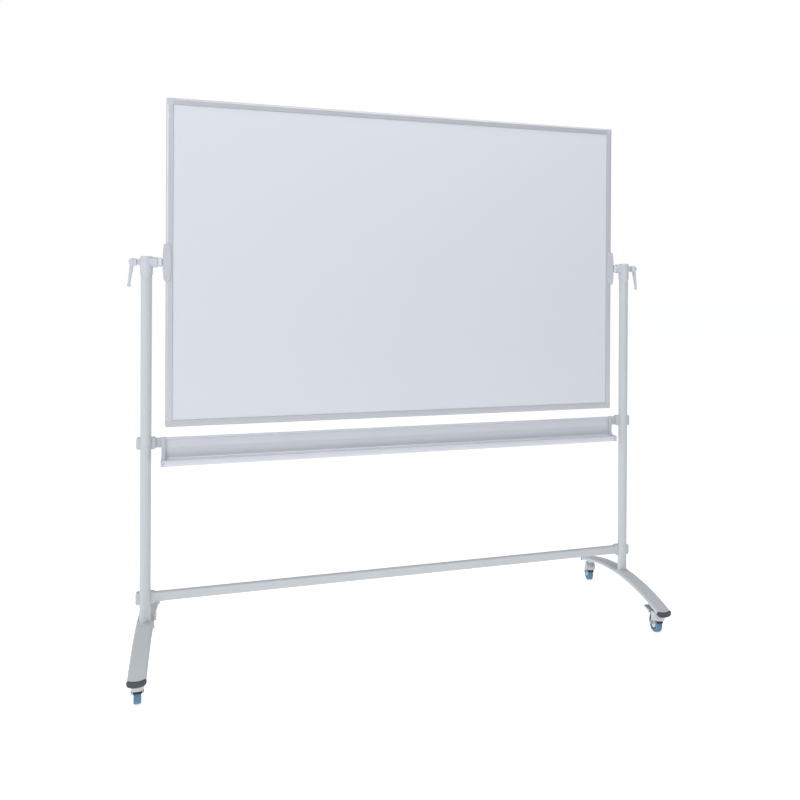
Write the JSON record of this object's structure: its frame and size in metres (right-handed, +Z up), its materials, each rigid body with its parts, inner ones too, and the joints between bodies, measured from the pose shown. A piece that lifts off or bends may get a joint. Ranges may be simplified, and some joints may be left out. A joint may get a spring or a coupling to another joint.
{
  "type": "mobile revolving whiteboard",
  "caption": "Free-standing double-sided whiteboard that turns over end for end between two posts, with clamping levers, a pen tray, arched feet and swivel castors",
  "frame": {"origin": "on the floor, midway between the two posts and under the board's turning axis", "axes": "+X along the board to the writer's right, +Y away from the writer, +Z up"},
  "size_m": [2.0614, 0.72, 2.06],
  "materials": {
    "stand_paint": "light grey powder coat, fine texture",
    "casting": "light grey powder coat on die-cast metal",
    "grey_plastic": "moulded light grey plastic",
    "bush_plastic": "smooth pale grey acetal",
    "cap_plastic": "slate grey moulded plastic",
    "anodised": "silver anodised extrusion with fine drawing lines",
    "enamel": "white enamelled steel writing surface, softly glossy",
    "core_board": "light honeycomb and fibre board",
    "zinc": "bright zinc-plated steel",
    "blue_tyre": "blue-grey thermoplastic rubber tread",
    "rim_plastic": "black nylon rim",
    "hub_plastic": "light grey nylon hub"
  },
  "bodies": {
    "stand": {"post_left": "stand_paint", "post_right": "stand_paint", "pivot_tee_left": "casting", "pivot_tee_right": "casting", "pivot_bushes": "bush_plastic", "foot_left": "stand_paint", "foot_right": "stand_paint", "foot_caps": "cap_plastic", "castor_wedges": "zinc", "castor_stems": "zinc", "post_base_screws": "zinc", "crossbar": "stand_paint", "crossbar_clamp_left": "casting", "crossbar_clamp_right": "casting", "pen_tray": "anodised", "tray_cap_left": "grey_plastic", "tray_cap_right": "grey_plastic", "tray_clamp_left": "casting", "tray_clamp_right": "casting", "tray_arms": "stand_paint", "clamp_screws": "zinc"},
    "board": {"board_core": "core_board", "writing_sheet_front": "enamel", "writing_sheet_back": "enamel", "frame_rail_top": "anodised", "frame_rail_bottom": "anodised", "frame_rail_left": "anodised", "frame_rail_right": "anodised", "frame_corners": "grey_plastic", "pivot_bracket_left": "grey_plastic", "pivot_bracket_right": "grey_plastic", "bracket_screws": "zinc", "pivot_shaft_left": "zinc", "pivot_shaft_right": "zinc"},
    "left_lever_stud": {"lever_stud_left": "zinc"},
    "left_lever": {"lever_handle_left": "casting"},
    "right_lever_stud": {"lever_stud_right": "zinc"},
    "right_lever": {"lever_handle_right": "casting"},
    "front_left_fork": {"castor_front_left_fork": "zinc", "castor_front_left_axle": "zinc"},
    "front_left_wheel": {"castor_front_left_tyre": "blue_tyre", "castor_front_left_rim": "rim_plastic", "castor_front_left_hub": "hub_plastic"},
    "front_left_pedal": {"castor_front_left_pedal": "zinc"},
    "front_right_fork": {"castor_front_right_fork": "zinc", "castor_front_right_axle": "zinc"},
    "front_right_wheel": {"castor_front_right_tyre": "blue_tyre", "castor_front_right_rim": "rim_plastic", "castor_front_right_hub": "hub_plastic"},
    "front_right_pedal": {"castor_front_right_pedal": "zinc"},
    "rear_left_fork": {"castor_rear_left_fork": "zinc", "castor_rear_left_axle": "zinc"},
    "rear_left_wheel": {"castor_rear_left_tyre": "blue_tyre", "castor_rear_left_rim": "rim_plastic", "castor_rear_left_hub": "hub_plastic"},
    "rear_right_fork": {"castor_rear_right_fork": "zinc", "castor_rear_right_axle": "zinc"},
    "rear_right_wheel": {"castor_rear_right_tyre": "blue_tyre", "castor_rear_right_rim": "rim_plastic", "castor_rear_right_hub": "hub_plastic"}
  },
  "joints": [
    {"name": "board_turn", "type": "hinge", "parent": "stand", "child": "board", "pos_m": [0, 0, 1.46], "axis": [1, 0, 0], "continuous": true},
    {"name": "left_lever_turn", "type": "hinge", "parent": "stand", "child": "left_lever_stud", "pos_m": [-1.005, 0, 1.46], "axis": [-1, 0, 0], "range_deg": [0, 180]},
    {"name": "left_lever_pull", "type": "slide", "parent": "left_lever_stud", "child": "left_lever", "axis": [-1, 0, 0], "range_m": [0, 0.004], "stiffness_N_per_m": 600, "springref_m": -0.004},
    {"name": "right_lever_turn", "type": "hinge", "parent": "stand", "child": "right_lever_stud", "pos_m": [1.005, 0, 1.46], "axis": [1, 0, 0], "range_deg": [0, 180]},
    {"name": "right_lever_pull", "type": "slide", "parent": "right_lever_stud", "child": "right_lever", "axis": [1, 0, 0], "range_m": [0, 0.004], "stiffness_N_per_m": 600, "springref_m": -0.004},
    {"name": "front_left_swivel", "type": "hinge", "parent": "stand", "child": "front_left_fork", "pos_m": [-0.965, -0.302, 0.09], "axis": [0, 0, 1], "continuous": true},
    {"name": "front_left_roll", "type": "hinge", "parent": "front_left_fork", "child": "front_left_wheel", "pos_m": [-0.96744, -0.27411, 0.0375], "axis": [0.9962, 0.0872, 0], "continuous": true},
    {"name": "front_left_brake", "type": "hinge", "parent": "front_left_fork", "child": "front_left_pedal", "pos_m": [-0.96936, -0.25219, 0.0735], "axis": [-0.9962, -0.0872, 0], "range_deg": [0, 12]},
    {"name": "front_right_swivel", "type": "hinge", "parent": "stand", "child": "front_right_fork", "pos_m": [0.965, -0.302, 0.09], "axis": [0, 0, 1], "continuous": true},
    {"name": "front_right_roll", "type": "hinge", "parent": "front_right_fork", "child": "front_right_wheel", "pos_m": [0.96744, -0.27411, 0.0375], "axis": [0.9962, -0.0872, 0], "continuous": true},
    {"name": "front_right_brake", "type": "hinge", "parent": "front_right_fork", "child": "front_right_pedal", "pos_m": [0.96936, -0.25219, 0.0735], "axis": [-0.9962, 0.0872, 0], "range_deg": [0, 12]},
    {"name": "rear_left_swivel", "type": "hinge", "parent": "stand", "child": "rear_left_fork", "pos_m": [-0.965, 0.302, 0.09], "axis": [0, 0, 1], "continuous": true},
    {"name": "rear_left_roll", "type": "hinge", "parent": "rear_left_fork", "child": "rear_left_wheel", "pos_m": [-0.9689, 0.32973, 0.0375], "axis": [0.9903, 0.1392, 0], "continuous": true},
    {"name": "rear_right_swivel", "type": "hinge", "parent": "stand", "child": "rear_right_fork", "pos_m": [0.965, 0.302, 0.09], "axis": [0, 0, 1], "continuous": true},
    {"name": "rear_right_roll", "type": "hinge", "parent": "rear_right_fork", "child": "rear_right_wheel", "pos_m": [0.97082, 0.32939, 0.0375], "axis": [0.9781, -0.2079, 0], "continuous": true}
  ]
}
